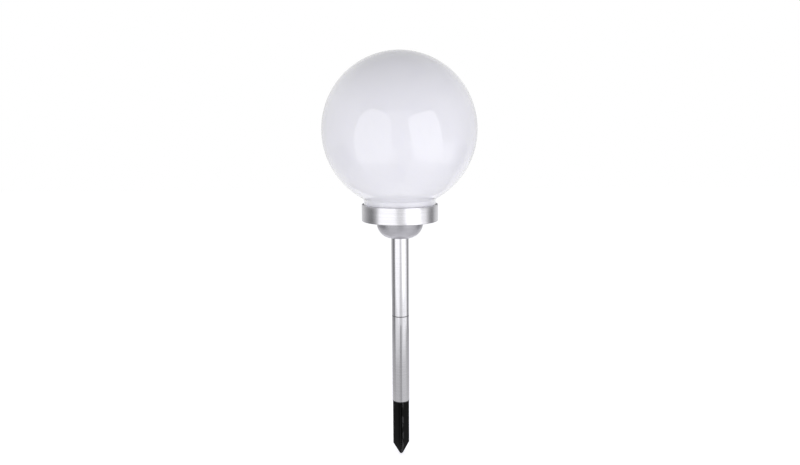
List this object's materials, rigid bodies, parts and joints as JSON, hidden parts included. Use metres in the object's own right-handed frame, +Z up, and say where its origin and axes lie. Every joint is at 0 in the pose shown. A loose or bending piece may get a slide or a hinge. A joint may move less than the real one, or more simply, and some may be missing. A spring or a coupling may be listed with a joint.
{
  "type": "garden globe light",
  "caption": "Opal globe light on a plug-together steel pole with a ground spike; the globe twists and lifts off over a solar panel, lamps and battery door.",
  "frame": {"origin": "on the lamp's axis at the ground line, where the lower pole ends and the spike goes into the soil", "axes": "+Z up along the pole, -Y towards the viewer in the picture, +X to the right"},
  "size_m": [0.2, 0.2, 0.5446],
  "materials": {
    "opal_plastic": "glossy opal white, translucent",
    "ring_steel": "fine brushed, nearly polished",
    "pole_steel": "satin polished tube",
    "cup_plastic": "satin silver-grey",
    "housing_plastic": "moulded, fine texture",
    "white_plastic": "moulded satin white",
    "black_plastic": "moulded satin black",
    "seal_rubber": "matt",
    "screw_steel": "zinc-plated",
    "solar_cells": "dark blue cells under clear resin",
    "led_resin": "clear yellowish resin",
    "battery_sleeve": "shrink sleeve",
    "contact_nickel": "nickel-plated spring steel",
    "board_laminate": "green solder mask",
    "component_resin": "moulded black",
    "wire_sleeve": "red insulation"
  },
  "bodies": {
    "spike": {"ground_spike": "black_plastic"},
    "lower_pole": {"lower_pole": "pole_steel", "pole_coupler": "black_plastic"},
    "upper_pole": {"upper_pole": "pole_steel"},
    "head": {"base_cup": "cup_plastic", "cup_screws": "screw_steel", "head_housing": "housing_plastic", "collar_ring": "ring_steel", "lamp_deck": "white_plastic", "deck_seal": "seal_rubber", "deck_screws": "screw_steel", "solar_panel": "solar_cells", "leds": "led_resin", "battery": "battery_sleeve", "positive_contact": "contact_nickel", "negative_contact": "contact_nickel", "circuit_board": "board_laminate", "board_screws": "screw_steel", "board_components": "component_resin", "power_switch": "black_plastic", "wires": "wire_sleeve"},
    "neck_gasket": {"neck_gasket": "seal_rubber"},
    "globe": {"globe": "opal_plastic"},
    "battery_door": {"battery_door": "white_plastic"},
    "switch_knob": {"switch_knob": "black_plastic"}
  },
  "joints": [
    {"name": "lower_pole_lift", "type": "slide", "parent": "spike", "child": "lower_pole", "axis": [0, 0, 1], "range_m": [0, 0.045]},
    {"name": "upper_pole_lift", "type": "slide", "parent": "lower_pole", "child": "upper_pole", "axis": [0, 0, 1], "range_m": [0, 0.025]},
    {"name": "head_lift", "type": "slide", "parent": "upper_pole", "child": "head", "axis": [0, 0, 1], "range_m": [0, 0.018]},
    {"name": "globe_twist", "type": "hinge", "parent": "head", "child": "neck_gasket", "pos_m": [0, 0, 0.2506], "axis": [0, 0, 1], "range_deg": [-20, 0]},
    {"name": "globe_lift", "type": "slide", "parent": "neck_gasket", "child": "globe", "axis": [0, 0, 1], "range_m": [0, 0.08]},
    {"name": "battery_door_lift", "type": "slide", "parent": "head", "child": "battery_door", "axis": [0, 0, 1], "range_m": [0, 0.015]},
    {"name": "switch_slide", "type": "slide", "parent": "head", "child": "switch_knob", "axis": [0.9205, -0.3907, 0], "range_m": [0, 0.002]}
  ]
}
